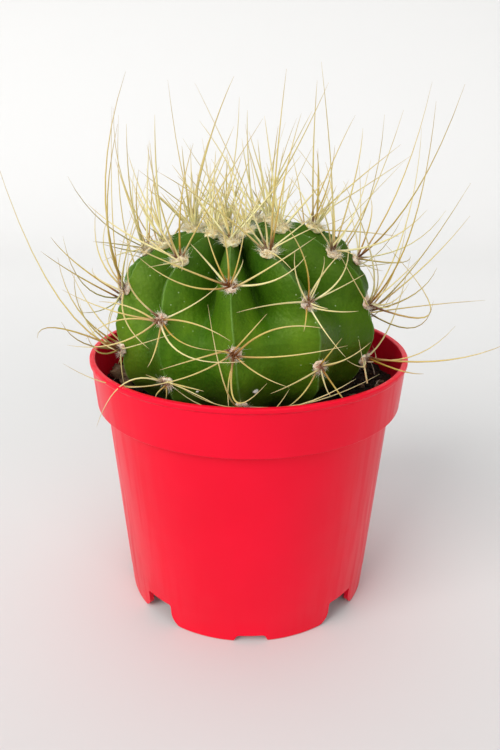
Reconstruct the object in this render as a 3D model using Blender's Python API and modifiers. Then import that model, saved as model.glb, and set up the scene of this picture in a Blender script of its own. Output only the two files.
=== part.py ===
"""Potted round cactus: a thin plastic nursery pot, its fill of peat, and a ribbed body with clustered spines.

Metres, +Z up. The origin is the middle of the pot's foot, on the surface it stands on; the front faces -Y.
The body is built in its own frame, which leans a little towards -X, by the angle from its crown and the azimuth
from its front. Each areole, a small pad of wool with the spines that grow from it, is one solid.
"""

import math

import bmesh
import bpy
import numpy as np
from mathutils import Matrix, Vector

MERGE = 0.00001
GAP = 0.0003

# Pot: a thin moulded cone with a wider collar, a bead round its rim and a foot ring cut into feet.
POT_HEIGHT = 0.0695
RIM_RADIUS = 0.0425
BEAD_HEIGHT = 0.0011
BEAD_PROUD = 0.0005
COLLAR_TOP_RADIUS = 0.0419
COLLAR_FOOT_RADIUS = 0.0411
COLLAR_FOOT_Z = 0.0566
CONE_TOP_RADIUS = 0.0387
CONE_FOOT_RADIUS = 0.0343
WALL = 0.0009
FOOT_ROUND = 0.0005
FOOT_RING_WIDTH = 0.0011
FLOOR_Z = 0.0076
FLOOR_THICKNESS = 0.0010
POT_SEGMENTS = 64

# Feet: low notches between broad feet, and tall ones with splayed sides half-way between them.
NOTCH_COUNT = 4
NOTCH_TURN = 1.7
LOW_NOTCH_HALF_WIDTH = 0.0046
LOW_NOTCH_HEIGHT = 0.0020
TALL_NOTCH_HALF_WIDTH = 0.0045
TALL_NOTCH_HEIGHT = 0.0066
TALL_NOTCH_SPLAY = 0.0040
DRAIN_RADIUS = 0.0033
DRAIN_CIRCLE = 0.0185

# Peat
SOIL_TOP = 0.0600
SOIL_RELIEF = 0.0006
SOIL_SEGMENTS = 48

# Body
BODY_CENTRE = np.array((-0.0010, 0.0, 0.0759))
BODY_LEAN = math.radians(5.5)
BODY_RADIUS = 0.0338
CROWN_RISE = 0.0274
BODY_DROP = 0.0240
SHOULDER = 2.45
CROWN_SINK = 0.0035
CROWN_SINK_RADIUS = 0.0085
GROOVE_DEPTH = 0.40
GROOVE_ROUND = 0.75
GROOVE_ENDS = 58
FURROW_DEPTH = 0.10
FURROW_ROUND = -0.80
FURROW_STARTS = 84
COLUMNS_PER_RIB = 6
BODY_ROWS = 20

# Each rib: its azimuth from the front towards +X, how far its top turns aside, and how far from the crown its
# first grown areole lies, all in degrees.
RIBS = (
    (-98.5, 0, 48),
    (-66, -6, 38),
    (-34, 0, 46),
    (-3, 0, 33),
    (30.5, -14, 44),
    (67, -12, 53),
    (99.5, -6, 40),
    (132, 0, 50),
    (164, 0, 36),
    (196.5, 0, 45),
    (229, 0, 34),
)
RIB_TURN_STARTS = 75
RIB_TURN_ENDS = 35
AREOLE_STEP = 25.5
YOUNGEST_AREOLE = 17
LOWEST_AREOLE = 112
GROWN_AREOLE = 60
NEWEST_AREOLE = 15

# Each spine of a grown areole: its clock angle from the side of the crown and its lean from the outward line in
# degrees, its length, and how far it lifts towards its tip. Young areoles hold shorter, more upright spines.
GROWN_SPINES = (
    (-12, 24, 0.041, 0.16),
    (76, 62, 0.031, 0.30),
    (-72, 60, 0.033, 0.34),
    (28, 38, 0.037, 0.26),
    (-104, 66, 0.027, 0.30),
    (108, 68, 0.025, 0.26),
    (-44, 48, 0.035, 0.32),
    (158, 62, 0.014, 0.16),
)
YOUNG_LEAN = 0.42
YOUNG_LENGTH = 0.40
LEAST_LEAN = 6
SHORTEST_SPINE = 0.007
LONGEST_SPINE = 0.050
SHORT_SPINE = 0.030
CLOCK_SPREAD = 13
LEAN_SPREAD = 8
LENGTH_SPREAD = 0.28
LIFT_SPREAD = 0.16
BEND_SPREAD = 0.14
CURL = 0.34
SEED = 295
TRIES = 40
REACH = np.array((0.0655, 0.0600, 0.1385))

SPINE_RADIUS = 0.00028
SPINE_SIDES = 3
SPINE_CLEARANCE = 0.0002
BODY_CLEARANCE = 0.0006
RIM_CLEARANCE = 0.0008
SOIL_CLEARANCE = 0.0020
BELOW_RIM = 0.004
ROOT_HEIGHT = 0.0008
PAD_CLEARANCE = 0.0024
GROWN_PAD = (0.00125, 0.0011)
YOUNG_PAD = (0.0019, 0.0015)

UP = np.array((0.0, 0.0, 1.0))
LEANING = np.array(Matrix.Rotation(-BODY_LEAN, 3, "Y"))


def clear_scene():
    for obj in list(bpy.data.objects):
        bpy.data.objects.remove(obj)


def collection(name, hidden=False):
    made = bpy.data.collections.new(name)
    made.hide_render = hidden
    bpy.context.scene.collection.children.link(made)
    return made


def material(name, colour, roughness):
    made = bpy.data.materials.new(name)
    made.use_nodes = True
    shader = made.node_tree.nodes["Principled BSDF"]
    shader.inputs["Base Color"].default_value = (*colour, 1)
    shader.inputs["Roughness"].default_value = roughness
    shader.inputs["Metallic"].default_value = 0
    return made


def add_object(name, mesh, home, finish=None):
    obj = bpy.data.objects.new(name, mesh)
    home.objects.link(obj)
    if finish:
        mesh.materials.append(finish)
    return obj


def mesh_from(bm, name):
    bmesh.ops.recalc_face_normals(bm, faces=bm.faces)
    mesh = bpy.data.meshes.new(name)
    bm.to_mesh(mesh)
    bm.free()
    return mesh


def turned(name, profile, segments, home, finish=None):
    """A solid of revolution whose profile runs from the axis, down its outer side and back to the axis."""
    mesh = bpy.data.meshes.new(name)
    edges = [(i, i + 1) for i in range(len(profile) - 1)]
    mesh.from_pydata([(r, 0, z) for r, z in profile], edges, [])
    obj = add_object(name, mesh, home, finish)
    screw = obj.modifiers.new("Turn", "SCREW")
    screw.steps = screw.render_steps = segments
    screw.use_merge_vertices = True
    screw.merge_threshold = MERGE
    return obj


def baked(obj, name):
    """The evaluated mesh of an object as plain data, which the object then holds with no modifiers."""
    graph = bpy.context.evaluated_depsgraph_get()
    mesh = bpy.data.meshes.new_from_object(obj.evaluated_get(graph))
    mesh.name = name
    obj.modifiers.clear()
    obj.data = mesh
    return mesh


def smooth(mesh):
    mesh.shade_smooth()
    mesh.set_sharp_from_angle(angle=math.radians(35))


# Pot


def cone_radius(z):
    return CONE_FOOT_RADIUS + (CONE_TOP_RADIUS - CONE_FOOT_RADIUS) * z / COLLAR_FOOT_Z


def pot_profile():
    """From the middle of the pot's floor, over the rim, down the outside, round the foot and back underneath."""
    bead_z = POT_HEIGHT - BEAD_HEIGHT
    floor_top = FLOOR_Z + FLOOR_THICKNESS
    shelf_z = COLLAR_FOOT_Z + WALL
    rim_inside = COLLAR_TOP_RADIUS - WALL
    foot_radius = CONE_FOOT_RADIUS - FOOT_ROUND
    foot_inside = foot_radius - FOOT_RING_WIDTH
    return [
        (0, floor_top),
        (cone_radius(floor_top) - WALL, floor_top),
        (cone_radius(shelf_z) - WALL, shelf_z),
        (COLLAR_FOOT_RADIUS - WALL, shelf_z + FOOT_ROUND),
        (rim_inside, POT_HEIGHT - FOOT_ROUND),
        (rim_inside + FOOT_ROUND, POT_HEIGHT),
        (RIM_RADIUS - FOOT_ROUND, POT_HEIGHT),
        (RIM_RADIUS, POT_HEIGHT - FOOT_ROUND),
        (RIM_RADIUS, bead_z),
        (RIM_RADIUS - BEAD_PROUD, bead_z - BEAD_PROUD),
        (COLLAR_FOOT_RADIUS, COLLAR_FOOT_Z + FOOT_ROUND),
        (COLLAR_FOOT_RADIUS - FOOT_ROUND, COLLAR_FOOT_Z),
        (CONE_TOP_RADIUS, COLLAR_FOOT_Z),
        (cone_radius(2 * FOOT_ROUND), 2 * FOOT_ROUND),
        (foot_radius, 0),
        (foot_inside, 0),
        (cone_radius(FLOOR_Z) - FOOT_RING_WIDTH, FLOOR_Z),
        (0, FLOOR_Z),
    ]


def notch_outlines():
    """The two kinds of notch, as half outlines (across, up) from the middle of the top to below the foot."""
    low_slant = LOW_NOTCH_HALF_WIDTH - LOW_NOTCH_HEIGHT / 2
    low = [(low_slant, LOW_NOTCH_HEIGHT), (LOW_NOTCH_HALF_WIDTH, -LOW_NOTCH_HEIGHT)]
    tall = [(TALL_NOTCH_HALF_WIDTH, TALL_NOTCH_HEIGHT)]
    for turn in range(0, 100, 15):
        across = TALL_NOTCH_HALF_WIDTH + TALL_NOTCH_SPLAY * (1 - math.cos(math.radians(turn)))
        height = TALL_NOTCH_SPLAY * (1 - math.sin(math.radians(turn)))
        tall.append((across, height))
    tall.append((tall[-1][0], -LOW_NOTCH_HEIGHT))
    return (0, low), (45, tall)


def notch_cutter(name, half, turn, home):
    """A plate of the notch's outline, set across the foot's wall at a turn from the front."""
    depth = 6 * FOOT_RING_WIDTH
    bm = bmesh.new()
    outline = [(-x, z) for x, z in reversed(half)] + half
    face = bm.faces.new([bm.verts.new((x, -CONE_FOOT_RADIUS - depth / 2, z)) for x, z in outline])
    grown = bmesh.ops.extrude_face_region(bm, geom=[face])["geom"]
    moved = [v for v in grown if isinstance(v, bmesh.types.BMVert)]
    bmesh.ops.translate(bm, verts=moved, vec=(0, depth, 0))
    bmesh.ops.rotate(bm, verts=bm.verts, matrix=Matrix.Rotation(math.radians(turn), 3, "Z"))
    cutter = add_object(name, mesh_from(bm, name), home)
    cutter.display_type = "WIRE"
    cutter.hide_render = True


def drain_cutter(name, place, home):
    bm = bmesh.new()
    at = Matrix.Translation(place)
    size = {"radius1": DRAIN_RADIUS, "radius2": DRAIN_RADIUS, "depth": 4 * FLOOR_THICKNESS}
    bmesh.ops.create_cone(bm, cap_ends=True, segments=12, matrix=at, **size)
    cutter = add_object(name, mesh_from(bm, name), home)
    cutter.display_type = "WIRE"
    cutter.hide_render = True


def make_pot(home, cutters):
    finish = material("red plastic", (0.80, 0.012, 0.030), 0.32)
    pot = turned("pot", pot_profile(), POT_SEGMENTS, home, finish)
    quarter = 360 / NOTCH_COUNT
    for offset, half in notch_outlines():
        for number in range(NOTCH_COUNT):
            turn = NOTCH_TURN + offset + quarter * number
            notch_cutter(f"cut_notch_{offset}_{number + 1}", half, turn, cutters)
    floor_middle = FLOOR_Z + FLOOR_THICKNESS / 2
    drain_cutter("cut_drain_1", (0, 0, floor_middle), cutters)
    for number in range(NOTCH_COUNT):
        turn = math.radians(NOTCH_TURN + quarter * number)
        place = (DRAIN_CIRCLE * math.sin(turn), -DRAIN_CIRCLE * math.cos(turn), floor_middle)
        drain_cutter(f"cut_drain_{number + 2}", place, cutters)
    cut = pot.modifiers.new("Notches and drains", "BOOLEAN")
    cut.operation = "DIFFERENCE"
    cut.operand_type = "COLLECTION"
    cut.collection = cutters
    smooth(baked(pot, "pot"))


# Body


def crest_distance(angle):
    """How far a rib's crest lies from the body's centre, at an angle from its crown."""
    sine, cosine = np.sin(angle), np.cos(angle)
    rise = np.where(cosine > 0, CROWN_RISE, BODY_DROP)
    power = np.where(cosine > 0, SHOULDER, 2.0)
    plain = (np.abs(sine / BODY_RADIUS) ** power + np.abs(cosine / rise) ** power) ** (-1 / power)
    sink = CROWN_SINK * np.exp(-((plain * sine / CROWN_SINK_RADIUS) ** 2))
    return plain - sink * (cosine > 0)


def crest_azimuths(angle):
    """Where every rib's crest runs, in radians, at an angle from the crown."""
    span = RIB_TURN_STARTS - RIB_TURN_ENDS
    share = np.clip((RIB_TURN_STARTS - np.degrees(angle)) / span, 0, 1)
    return np.radians([azimuth + turn * share for azimuth, turn, first in RIBS])


def crests_round(angle):
    """The crests' azimuths with the last and the first repeated, so that they span the whole turn."""
    crests = crest_azimuths(angle)
    return np.concatenate((crests[-1:] - 2 * math.pi, crests, crests[:1] + 2 * math.pi))


def groove_share(angle, azimuth):
    """0 on a crest and 1 in the middle of the groove between two ribs."""
    crests = crests_round(angle)
    around = np.mod(azimuth - crests[0], 2 * math.pi) + crests[0]
    ribs = sum(np.clip((around - low) / (high - low), 0, 1) for low, high in zip(crests, crests[1:]))
    return np.abs(ribs - np.round(ribs)) * 2


def surface_distance(angle, azimuth):
    """The skin's distance: sharp deep grooves near the crown that open into wide shallow furrows below."""
    share = groove_share(angle, azimuth)
    low = np.clip((np.degrees(angle) - GROOVE_ENDS) / (FURROW_STARTS - GROOVE_ENDS), 0, 1)
    low = low**2 * (3 - 2 * low)
    depth = GROOVE_DEPTH + (FURROW_DEPTH - GROOVE_DEPTH) * low
    rounding = GROOVE_ROUND + (FURROW_ROUND - GROOVE_ROUND) * low
    shape = (1 - rounding) * share + rounding * share**2
    return crest_distance(angle) * (1 - depth * np.sin(angle) ** 0.5 * shape)


def body_point(angle, azimuth, distance):
    ahead = np.array((math.sin(azimuth), -math.cos(azimuth), 0))
    return BODY_CENTRE + LEANING @ (distance * (math.sin(angle) * ahead + math.cos(angle) * UP))


def body_clearance(points):
    """How far each point lies outside the body, along the line to its centre."""
    local = (points - BODY_CENTRE) @ LEANING
    distance = np.linalg.norm(local, axis=-1)
    angle = np.arccos(np.clip(local[:, 2] / distance, -1, 1))
    return distance - surface_distance(angle, np.arctan2(local[:, 0], -local[:, 1]))


def make_body(home):
    """A sphere whose columns follow the ribs and their grooves, and whose rows follow the body's outline."""
    columns = COLUMNS_PER_RIB * len(RIBS)
    bm = bmesh.new()
    bmesh.ops.create_uvsphere(bm, u_segments=columns, v_segments=BODY_ROWS, radius=1)
    for vert in bm.verts:
        angle = math.acos(max(-1, min(1, vert.co.z)))
        crests = crests_round(angle)
        ribs = math.atan2(-vert.co.x, vert.co.y) % (2 * math.pi) / (2 * math.pi) * len(RIBS)
        azimuth = float(np.interp(ribs, range(len(crests)), crests))
        vert.co = Vector(body_point(angle, azimuth, float(surface_distance(angle, azimuth))))
    mesh = mesh_from(bm, "cactus_body")
    add_object("cactus_body", mesh, home, material("cactus skin", (0.055, 0.15, 0.018), 0.45))
    smooth(mesh)


# Peat


def soil_hole(home):
    """The plain hollow that the body sits in, a gap larger than its crests."""
    bm = bmesh.new()
    bmesh.ops.create_uvsphere(bm, u_segments=SOIL_SEGMENTS, v_segments=BODY_ROWS, radius=1)
    for vert in bm.verts:
        angle = math.acos(max(-1, min(1, vert.co.z)))
        azimuth = math.atan2(vert.co.x, -vert.co.y)
        vert.co = Vector(body_point(angle, azimuth, float(crest_distance(angle)) + 1.5 * GAP))
    hole = add_object("cut_soil_hole", mesh_from(bm, "cut_soil_hole"), home)
    hole.display_type = "WIRE"
    hole.hide_render = True
    return hole


def make_soil(home, cutters):
    """The pot's fill, with a slightly uneven top and a hollow for the body."""
    floor_top = FLOOR_Z + FLOOR_THICKNESS + GAP
    shelf_z = COLLAR_FOOT_Z + WALL + FOOT_ROUND + GAP
    wall = WALL + GAP
    profile = [
        (0, SOIL_TOP),
        (BODY_RADIUS, SOIL_TOP),
        ((BODY_RADIUS + COLLAR_FOOT_RADIUS) / 2, SOIL_TOP),
        (COLLAR_FOOT_RADIUS - wall, SOIL_TOP),
        (COLLAR_FOOT_RADIUS - wall, shelf_z),
        (cone_radius(shelf_z) - wall, shelf_z - FOOT_ROUND),
        (cone_radius(floor_top) - wall, floor_top),
        (0, floor_top),
    ]
    soil = turned("soil", profile, SOIL_SEGMENTS, home, material("peat", (0.018, 0.012, 0.009), 0.95))
    for vert in baked(soil, "soil").vertices:
        x, y, z = vert.co
        if z > SOIL_TOP - GAP:
            vert.co.z += SOIL_RELIEF * (math.sin(330 * x + 1) + math.cos(290 * y - 210 * x))
    cut = soil.modifiers.new("Hollow", "BOOLEAN")
    cut.operation = "DIFFERENCE"
    cut.object = soil_hole(cutters)
    baked(soil, "soil")


# Areoles and their spines


def areoles():
    """Every areole: its name, place on its crest, outward, uphill and sideways directions, and age from 0 to 1."""
    found = []
    for number, (azimuth, turn, first) in enumerate(RIBS):
        rows = np.arange(first - AREOLE_STEP, LOWEST_AREOLE, AREOLE_STEP)
        for row, degrees in enumerate(rows[rows >= YOUNGEST_AREOLE], start=1):
            angle = math.radians(degrees)
            around = crest_azimuths(angle)[number]
            place = body_point(angle, around, crest_distance(angle))
            above, below = (body_point(a, around, crest_distance(a)) for a in (angle - 0.02, angle + 0.02))
            uphill = (above - below) / np.linalg.norm(above - below)
            sideways = LEANING @ np.array((math.cos(around), math.sin(around), 0))
            age = min(1, (degrees - NEWEST_AREOLE) / (GROWN_AREOLE - NEWEST_AREOLE))
            outward = np.cross(sideways, uphill)
            found.append((f"areole_{number + 1:02d}_{row}", place, outward, uphill, sideways, age))
    return found


def spine_points(root, start, length, bend):
    steps = 3 if length < SHORT_SPINE else 4
    share = np.linspace(0, 1, steps + 1)[:, None]
    return root + length * (share * start + share**2 * bend)


def least_gap(a, b, c, d):
    """The least distance between any segment a-b and any segment c-d."""
    along, across = b - a, d - c
    apart = a[:, None] - c[None]
    aa = (along**2).sum(-1)[:, None]
    cc = (across**2).sum(-1)[None]
    ac = along @ across.T
    a_apart = (along[:, None] * apart).sum(-1)
    c_apart = (across[None] * apart).sum(-1)
    s = np.clip((ac * c_apart - a_apart * cc) / np.maximum(aa * cc - ac**2, 1e-18), 0, 1)
    t = np.clip((ac * s + c_apart) / cc, 0, 1)
    s = np.clip((ac * t - a_apart) / aa, 0, 1)
    between = apart + s[..., None] * along[:, None] - t[..., None] * across[None]
    return np.linalg.norm(between, axis=-1).min(initial=1)


def clear_of_holder(points):
    """Whether a spine passes the body, the rim and the peat with room to spare."""
    fine = [a + (b - a) * np.linspace(0, 1, 13)[1:, None] for a, b in zip(points, points[1:])]
    fine = np.concatenate(fine)
    free = np.linalg.norm(fine - points[0], axis=1) > 0.003
    around = np.hypot(fine[:, 0], fine[:, 1])
    inside = around < COLLAR_TOP_RADIUS - WALL
    outside = around > RIM_RADIUS + RIM_CLEARANCE
    lowest = np.full(len(fine), POT_HEIGHT + RIM_CLEARANCE)
    lowest[around < COLLAR_TOP_RADIUS - WALL - RIM_CLEARANCE] = SOIL_TOP + SOIL_CLEARANCE
    lowest[outside & ~inside] = POT_HEIGHT - BELOW_RIM
    return (body_clearance(fine[free]) > BODY_CLEARANCE).all() and (fine[:, 2] > lowest).all()


def drawn_spine(draw, pattern, plant, attempt):
    """One spine of a pattern's kind, drawn anew at each attempt and a little shorter and further aside."""
    clock, lean, length, lift = pattern
    name, place, outward, uphill, sideways, age = plant
    turn = math.radians(clock + (CLOCK_SPREAD + 0.8 * attempt) * draw.normal())
    lean *= YOUNG_LEAN + (1 - YOUNG_LEAN) * age
    lean = math.radians(max(LEAST_LEAN, lean + LEAN_SPREAD * draw.normal()))
    length *= YOUNG_LENGTH + (1 - YOUNG_LENGTH) * age
    length *= (1 + LENGTH_SPREAD * draw.normal()) * (1 - 0.015 * attempt)
    length = min(max(length, SHORTEST_SPINE), LONGEST_SPINE)
    aside = math.cos(turn) * uphill + math.sin(turn) * sideways
    start = math.cos(lean) * outward + math.sin(lean) * aside
    lift += LIFT_SPREAD * draw.normal()
    bend = age * (lift * UP - CURL * outward + BEND_SPREAD * draw.normal(size=3))
    root = place + outward * ROOT_HEIGHT
    way = start + bend
    length = min(length, *((np.sign(way) * REACH - root) / way))
    return spine_points(root, start, length, bend)


def grow_spines(plants):
    """The spines of every areole, none of which meets another areole, the body, the pot or the peat."""
    pads = np.array([place + outward * ROOT_HEIGHT for name, place, outward, *rest in plants])
    starts, ends, owners = np.empty((0, 3)), np.empty((0, 3)), np.empty(0, int)
    grown = [[] for plant in plants]
    for kind, pattern in enumerate(GROWN_SPINES):
        for number, plant in enumerate(plants):
            draw = np.random.default_rng((SEED, kind, number))
            far_pads = np.delete(pads, number, axis=0)
            for attempt in range(TRIES):
                points = drawn_spine(draw, pattern, plant, attempt)
                far = owners != number
                gap = least_gap(points[:-1], points[1:], starts[far], ends[far])
                pad_gap = least_gap(points[:-1], points[1:], far_pads, far_pads + MERGE)
                if gap < 2 * SPINE_RADIUS + SPINE_CLEARANCE or pad_gap < PAD_CLEARANCE:
                    continue
                if clear_of_holder(points):
                    grown[number].append(points)
                    starts = np.vstack((starts, points[:-1]))
                    ends = np.vstack((ends, points[1:]))
                    owners = np.append(owners, np.full(len(points) - 1, number))
                    break
    return grown


def make_spine(name, points, home):
    """A tapering needle: one ring at each point, joined to the next, and a sharp tip."""
    points = [Vector(p) for p in points]
    aside = (points[1] - points[0]).orthogonal()
    bm = bmesh.new()
    rings = []
    for step, point in enumerate(points[:-1]):
        along = (points[step + 1] - points[max(0, step - 1)]).normalized()
        across = (aside - along * aside.dot(along)).normalized()
        over = along.cross(across)
        radius = SPINE_RADIUS * (1 - 0.75 * step / (len(points) - 1))
        turns = [2 * math.pi * side / SPINE_SIDES for side in range(SPINE_SIDES)]
        rings.append([bm.verts.new(point + radius * (math.cos(t) * across + math.sin(t) * over)) for t in turns])
    tip = bm.verts.new(points[-1])
    bm.faces.new(rings[0])
    for low, high in zip(rings, rings[1:]):
        for side in range(SPINE_SIDES):
            after = (side + 1) % SPINE_SIDES
            bm.faces.new((low[side], low[after], high[after], high[side]))
    for side in range(SPINE_SIDES):
        bm.faces.new((rings[-1][side], rings[-1][(side + 1) % SPINE_SIDES], tip))
    return add_object(name, mesh_from(bm, name), home)


def keep_biggest_shell(mesh):
    """Fills any void that a union sealed: of the mesh's separate shells only the one with most corners stays."""
    bm = bmesh.new()
    bm.from_mesh(mesh)
    left, shells = set(bm.verts), []
    while left:
        shell, front = set(), {left.pop()}
        while front:
            shell |= front
            front = {edge.other_vert(vert) for vert in front for edge in vert.link_edges} - shell
        left -= shell
        shells.append(shell)
    biggest = max(shells, key=len)
    bmesh.ops.delete(bm, geom=[vert for vert in bm.verts if vert not in biggest], context="VERTS")
    bm.to_mesh(mesh)
    bm.free()


def make_areole(plant, spines, home, finish):
    """A small dome of wool a gap above the crest, with its spines rooted in it and fused to it."""
    name, place, outward, uphill, sideways, age = plant
    radius, height = (young + (grown - young) * age for young, grown in zip(YOUNG_PAD, GROWN_PAD))
    axes = Matrix([sideways, uphill, outward]).transposed().to_4x4()
    middle = place + outward * (GAP + height / 2)
    bm = bmesh.new()
    bmesh.ops.create_uvsphere(bm, u_segments=7, v_segments=4, radius=1)
    size = Matrix.Diagonal((radius, radius, height / 2, 1))
    bmesh.ops.transform(bm, verts=bm.verts, matrix=Matrix.Translation(middle) @ axes @ size)
    obj = add_object(name, mesh_from(bm, name), home, finish)
    loose = collection(f"{name}_loose", hidden=True)
    parts = [make_spine(f"{name}_spine_{i + 1}", points, loose) for i, points in enumerate(spines)]
    union = obj.modifiers.new("Join", "BOOLEAN")
    union.operation = "UNION"
    union.operand_type = "COLLECTION"
    union.collection = loose
    union.solver = "MANIFOLD"
    baked(obj, name)
    keep_biggest_shell(obj.data)
    for part in parts:
        bpy.data.objects.remove(part)
    bpy.data.collections.remove(loose)


clear_scene()
cactus = collection("potted_round_cactus")
cutters = collection("cutters", hidden=True)
make_pot(cactus, cutters)
make_soil(cactus, cutters)
make_body(cactus)
wool = material("wool and spines", (0.62, 0.45, 0.20), 0.6)
plants = areoles()
for plant, spines in zip(plants, grow_spines(plants)):
    make_areole(plant, spines, cactus, wool)
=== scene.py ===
"""Looks of the potted round cactus: a red nursery pot, its peat, and a ribbed body with spines in wool."""

import math

import bmesh
import bpy
import numpy as np
from mathutils import Matrix, Vector, noise


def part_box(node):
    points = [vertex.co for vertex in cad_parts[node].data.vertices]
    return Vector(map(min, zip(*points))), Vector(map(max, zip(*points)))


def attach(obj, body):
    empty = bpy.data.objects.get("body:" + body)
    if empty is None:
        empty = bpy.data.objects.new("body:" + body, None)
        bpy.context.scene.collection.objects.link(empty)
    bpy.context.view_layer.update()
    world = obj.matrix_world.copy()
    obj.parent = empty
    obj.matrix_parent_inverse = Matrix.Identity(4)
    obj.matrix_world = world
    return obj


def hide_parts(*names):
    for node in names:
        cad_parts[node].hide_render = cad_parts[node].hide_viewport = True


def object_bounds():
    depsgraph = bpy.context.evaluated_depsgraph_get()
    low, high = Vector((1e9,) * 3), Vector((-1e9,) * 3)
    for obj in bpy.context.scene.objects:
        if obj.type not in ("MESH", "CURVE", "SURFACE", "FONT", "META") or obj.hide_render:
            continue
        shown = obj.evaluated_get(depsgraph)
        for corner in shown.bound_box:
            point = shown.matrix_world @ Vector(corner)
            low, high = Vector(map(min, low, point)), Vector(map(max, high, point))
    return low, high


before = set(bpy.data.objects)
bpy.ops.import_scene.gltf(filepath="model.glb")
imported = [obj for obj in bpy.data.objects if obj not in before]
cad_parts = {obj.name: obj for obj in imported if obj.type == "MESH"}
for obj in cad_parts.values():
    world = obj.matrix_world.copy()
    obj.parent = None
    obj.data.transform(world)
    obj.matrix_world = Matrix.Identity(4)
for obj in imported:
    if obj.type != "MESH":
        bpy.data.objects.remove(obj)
cad_low, cad_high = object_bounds()

# Studio: a pale paper sweep under and behind the plant, lit softly from the upper left, and a camera held
# close and a little above the rim. A grey card stands off to the right, so that side of the plant stays a
# little darker.
CAMERA_PLACE = (0, -0.180, 0.1287)
CAMERA_DOWN = math.radians(20.44)
CAMERA_ROLL = 0.0076
CAMERA_YAW = 0.002
CAMERA_LENS = 33.34
SWEEP_WIDTH = 3.0
SWEEP_FRONT = -0.9
SWEEP_BACK = 0.50
SWEEP_RADIUS = 0.35
SWEEP_HEIGHT = 1.6
# Painted shade on the paper: a darker grey at the front and a paler one at the back, each with the depth
# where it is reached.
SHADED_NEAR_PAPER = (-0.16, (0.640, 0.645, 0.638, 1))
LIT_FAR_PAPER = (0.35, (0.755, 0.750, 0.740, 1))
CARD_SIZE = 1.0
CARD_PLACE = (1.1, 0.0, 0.5)

scene = bpy.context.scene
scene.view_settings.view_transform = "Standard"
scene.view_settings.look = "None"

camera = bpy.data.objects.new("camera", bpy.data.cameras.new("camera"))
camera.data.lens = CAMERA_LENS
camera.data.clip_start = 0.01
tilt = Matrix.Rotation(math.pi / 2 - CAMERA_DOWN, 4, "X") @ Matrix.Rotation(CAMERA_ROLL, 4, "Z")
camera.matrix_world = Matrix.Translation(CAMERA_PLACE) @ Matrix.Rotation(-CAMERA_YAW, 4, "Z") @ tilt
scene.collection.objects.link(camera)
scene.camera = camera


def softbox(name, place, aim, size, watts, colour):
    """A rectangular lamp, turned to face a point."""
    lamp = bpy.data.lights.new(name, "AREA")
    lamp.shape = "RECTANGLE"
    lamp.size, lamp.size_y = size
    lamp.energy = watts
    lamp.color = colour
    obj = bpy.data.objects.new(name, lamp)
    obj.location = place
    obj.rotation_euler = (Vector(aim) - Vector(place)).to_track_quat("-Z", "Y").to_euler()
    scene.collection.objects.link(obj)


softbox("window_light", (-2.3, -2.2, 2.3), (0, 0, 0.07), (2.6, 2.2), 112.0, (1.0, 0.985, 0.96))
softbox("room_fill", (1.3, -3.1, 1.5), (0, 0, 0.10), (2.4, 1.6), 34.0, (1.0, 0.99, 0.98))
softbox("ceiling", (0, 0.1, 3.2), (0, 0.1, 0), (2.4, 2.4), 16.0, (1.0, 1.0, 1.0))


def set_inputs(node, **inputs):
    """Sets a node's own inputs, whose names are written with _ for a space."""
    for name, value in inputs.items():
        node.inputs[name.replace("_", " ")].default_value = value


world = bpy.data.worlds.new("studio")
world.use_nodes = True
set_inputs(world.node_tree.nodes["Background"], Color=(0.93, 0.96, 1.0, 1), Strength=0.50)
scene.world = world

bm = bmesh.new()
quarter_turn = [math.radians(a) for a in range(0, 91, 6)]
route = [(SWEEP_FRONT, 0)]
route += [(SWEEP_BACK + SWEEP_RADIUS * math.sin(a), SWEEP_RADIUS * (1 - math.cos(a))) for a in quarter_turn]
route += [(SWEEP_BACK + SWEEP_RADIUS, SWEEP_HEIGHT)]
verts = [bm.verts.new((-SWEEP_WIDTH / 2, y, z)) for y, z in route]
edges = [bm.edges.new(pair) for pair in zip(verts, verts[1:])]
swept = bmesh.ops.extrude_edge_only(bm, edges=edges)["geom"]
far_side = [v for v in swept if isinstance(v, bmesh.types.BMVert)]
bmesh.ops.translate(bm, verts=far_side, vec=(SWEEP_WIDTH, 0, 0))
bmesh.ops.recalc_face_normals(bm, faces=bm.faces)
mesh = bpy.data.meshes.new("paper_sweep")
bm.to_mesh(mesh)
bm.free()
mesh.shade_smooth()
sweep = bpy.data.objects.new("paper_sweep", mesh)
scene.collection.objects.link(sweep)
paper = bpy.data.materials.new("pale paper")
paper.use_nodes = True
shader = paper.node_tree.nodes["Principled BSDF"]
set_inputs(shader, Roughness=0.9)
tree = paper.node_tree
where = tree.nodes.new("ShaderNodeTexCoord").outputs["Object"]
axes = tree.nodes.new("ShaderNodeSeparateXYZ")
tree.links.new(where, axes.inputs["Vector"])
# Painted shade: the paper's colour runs from a darker grey at the front to a paler one at the back, in place
# of light that falls off across it.
depth = tree.nodes.new("ShaderNodeMapRange")
set_inputs(depth, From_Min=SHADED_NEAR_PAPER[0], From_Max=LIT_FAR_PAPER[0])
tree.links.new(axes.outputs["Y"], depth.inputs["Value"])
shade = tree.nodes.new("ShaderNodeValToRGB")
shade.color_ramp.elements[0].color = SHADED_NEAR_PAPER[1]
shade.color_ramp.elements[1].color = LIT_FAR_PAPER[1]
tree.links.new(depth.outputs["Result"], shade.inputs["Fac"])
tree.links.new(shade.outputs["Color"], shader.inputs["Base Color"])
mesh.materials.append(paper)

bm = bmesh.new()
bmesh.ops.create_grid(bm, x_segments=1, y_segments=1, size=CARD_SIZE / 2)
mesh = bpy.data.meshes.new("grey_card")
bm.to_mesh(mesh)
bm.free()
card = bpy.data.objects.new("grey_card", mesh)
card.matrix_world = Matrix.Translation(CARD_PLACE) @ Matrix.Rotation(math.radians(-90), 4, "Y")
scene.collection.objects.link(card)
grey = bpy.data.materials.new("grey card")
grey.use_nodes = True
set_inputs(grey.node_tree.nodes["Principled BSDF"], Base_Color=(0.30, 0.30, 0.30, 1))
mesh.materials.append(grey)

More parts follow.
